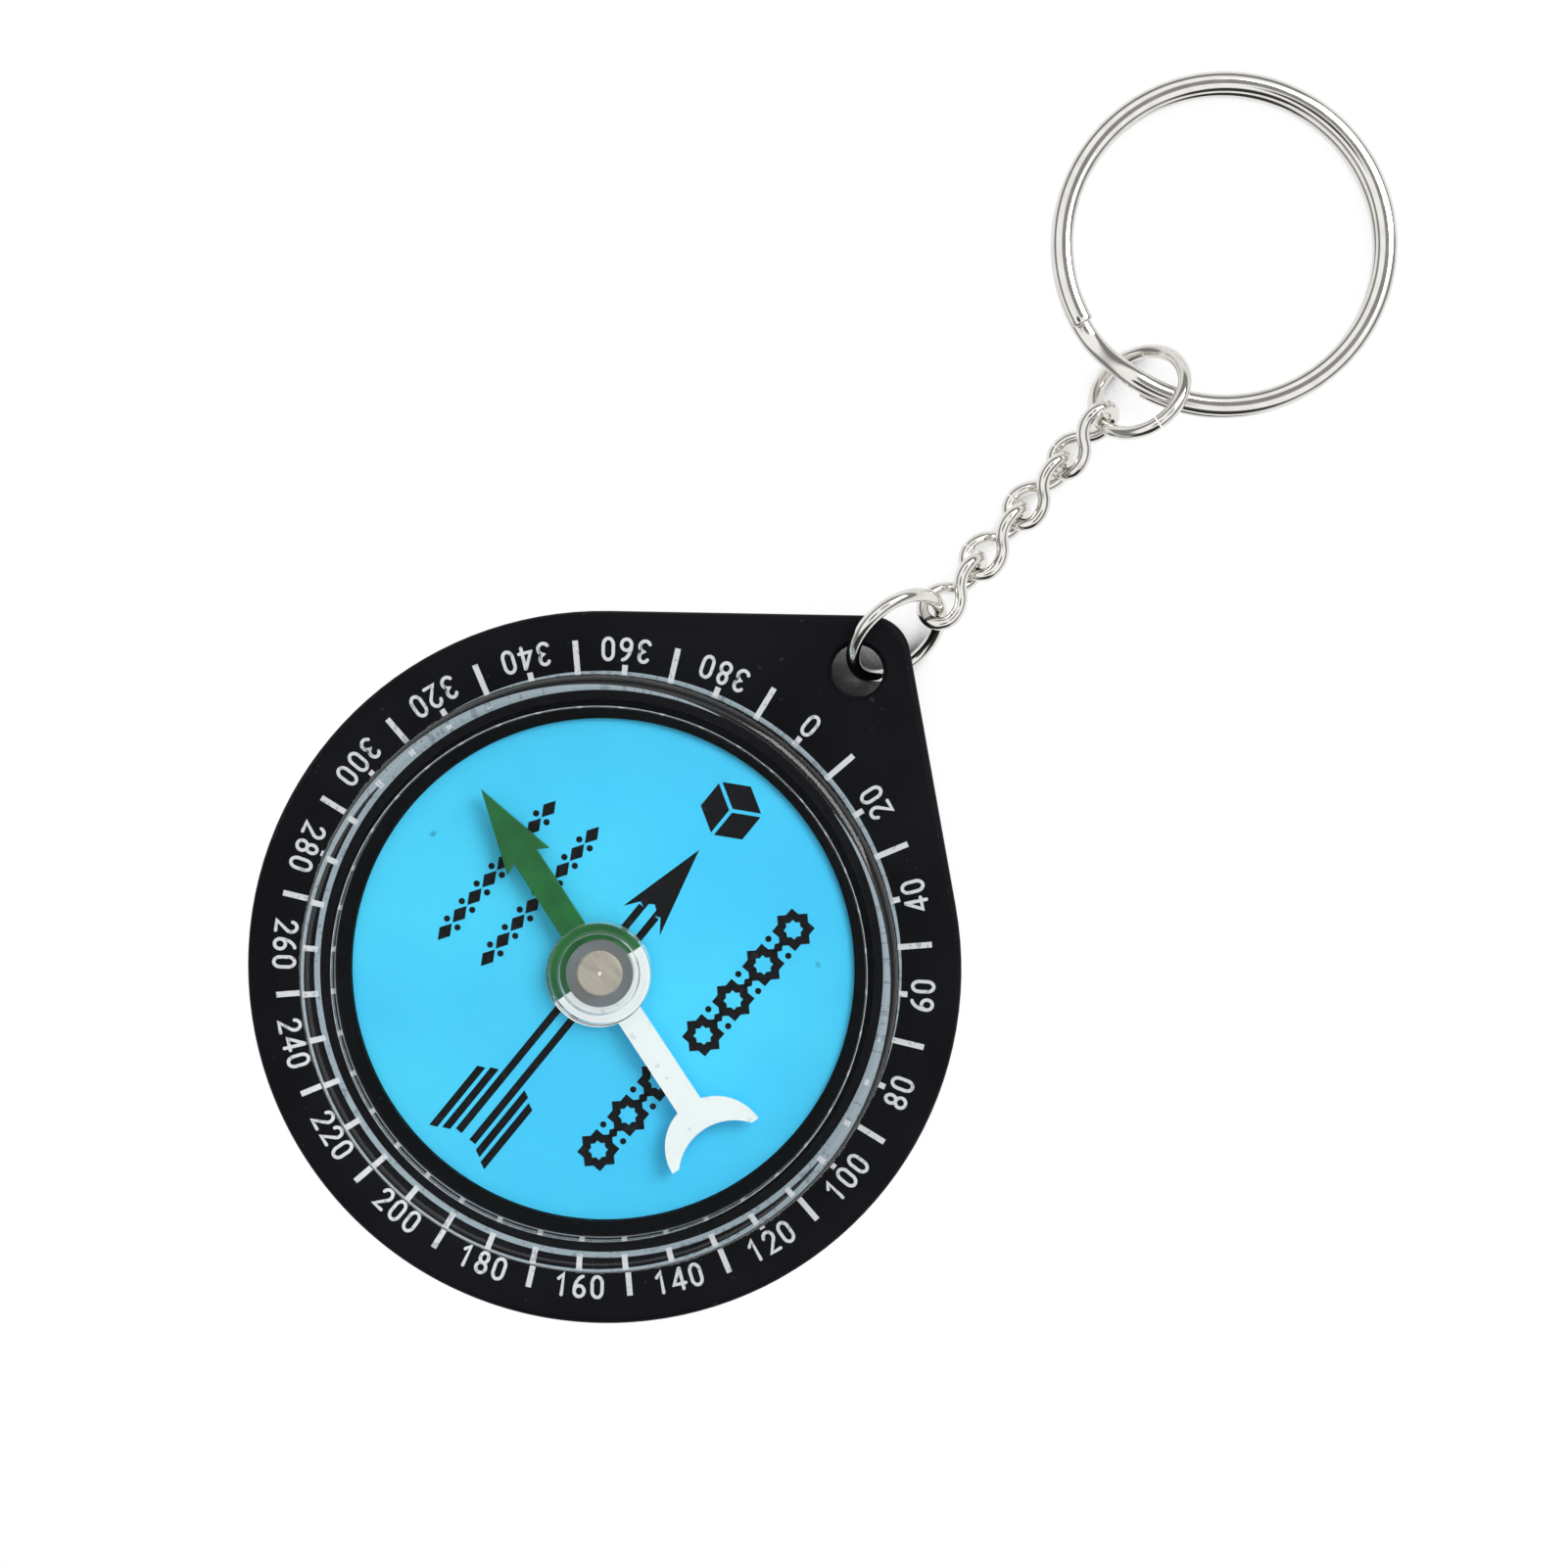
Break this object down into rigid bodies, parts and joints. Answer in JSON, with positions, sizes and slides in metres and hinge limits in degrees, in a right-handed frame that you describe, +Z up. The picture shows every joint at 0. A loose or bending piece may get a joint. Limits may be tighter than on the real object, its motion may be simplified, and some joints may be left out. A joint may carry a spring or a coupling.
{
  "type": "qibla compass",
  "caption": "Small qibla compass for a key ring: a clear domed capsule with a printed dial and a free needle in a black lugged plate, on a short chain with a split ring.",
  "frame": {"origin": "on the resting plane under the needle's pivot axis, in the middle of the back face", "axes": "+Z up out of the dial, +Y from the pivot to the lug and along the chain"},
  "size_m": [0.044, 0.0907, 0.0082],
  "materials": {
    "black_plastic": "fine-grained black moulding",
    "blue_card": "printed card",
    "clear_acrylic": "clear polished",
    "pin_steel": "ground",
    "needle_paint": "green and white paint on steel",
    "cup_brass": "dull",
    "nickel": "bright nickel plate on steel"
  },
  "bodies": {
    "compass": {"body_plate": "black_plastic", "capsule_base": "black_plastic", "dial_card": "blue_card", "capsule_dome": "clear_acrylic", "pivot_pin": "pin_steel"},
    "needle": {"needle": "needle_paint", "needle_bush": "clear_acrylic", "bearing_cup": "cup_brass"},
    "plate_ring": {"plate_ring": "nickel"},
    "link_1": {"chain_link_1": "nickel"},
    "link_2": {"chain_link_2": "nickel"},
    "link_3": {"chain_link_3": "nickel"},
    "link_4": {"chain_link_4": "nickel"},
    "end_ring": {"end_ring": "nickel"},
    "split_ring": {"split_ring": "nickel"}
  },
  "joints": [
    {"name": "needle_spin", "type": "hinge", "parent": "compass", "child": "needle", "pos_m": [0, 0, 0.0049], "axis": [0, 0, 1], "continuous": true},
    {"name": "plate_ring_turn", "type": "hinge", "parent": "compass", "child": "plate_ring", "pos_m": [0.00045, 0.02726, 0.0032], "axis": [0.8112, -0.114, 0.5736], "range_deg": [-25, 60]},
    {"name": "link_1_swing", "type": "hinge", "parent": "plate_ring", "child": "link_1", "pos_m": [0.00135, 0.03024, 0.00253], "axis": [-0.5126, 0.3334, 0.7912], "range_deg": [-45, 45]},
    {"name": "link_2_swing", "type": "hinge", "parent": "link_1", "child": "link_2", "pos_m": [0.00135, 0.03319, 0.00183], "axis": [0.9455, 0.0227, 0.3248], "range_deg": [-45, 45]},
    {"name": "link_3_swing", "type": "hinge", "parent": "link_2", "child": "link_3", "pos_m": [0.00135, 0.03823, 0.00148], "axis": [0.3256, -0.066, -0.9432], "range_deg": [-45, 45]},
    {"name": "link_4_swing", "type": "hinge", "parent": "link_3", "child": "link_4", "pos_m": [0.00135, 0.04129, 0.0015], "axis": [-0.809, 0.1122, -0.577], "range_deg": [-45, 45]},
    {"name": "end_ring_swing", "type": "hinge", "parent": "link_4", "child": "end_ring", "pos_m": [0.00135, 0.04625, 0.00246], "axis": [-0.5878, -0.1544, 0.7942], "range_deg": [-15, 45]},
    {"name": "split_ring_swing", "type": "hinge", "parent": "end_ring", "child": "split_ring", "pos_m": [0.00213, 0.04858, 0.00252], "axis": [0.9799, 0.1994, 0], "range_deg": [-60, 60]}
  ]
}
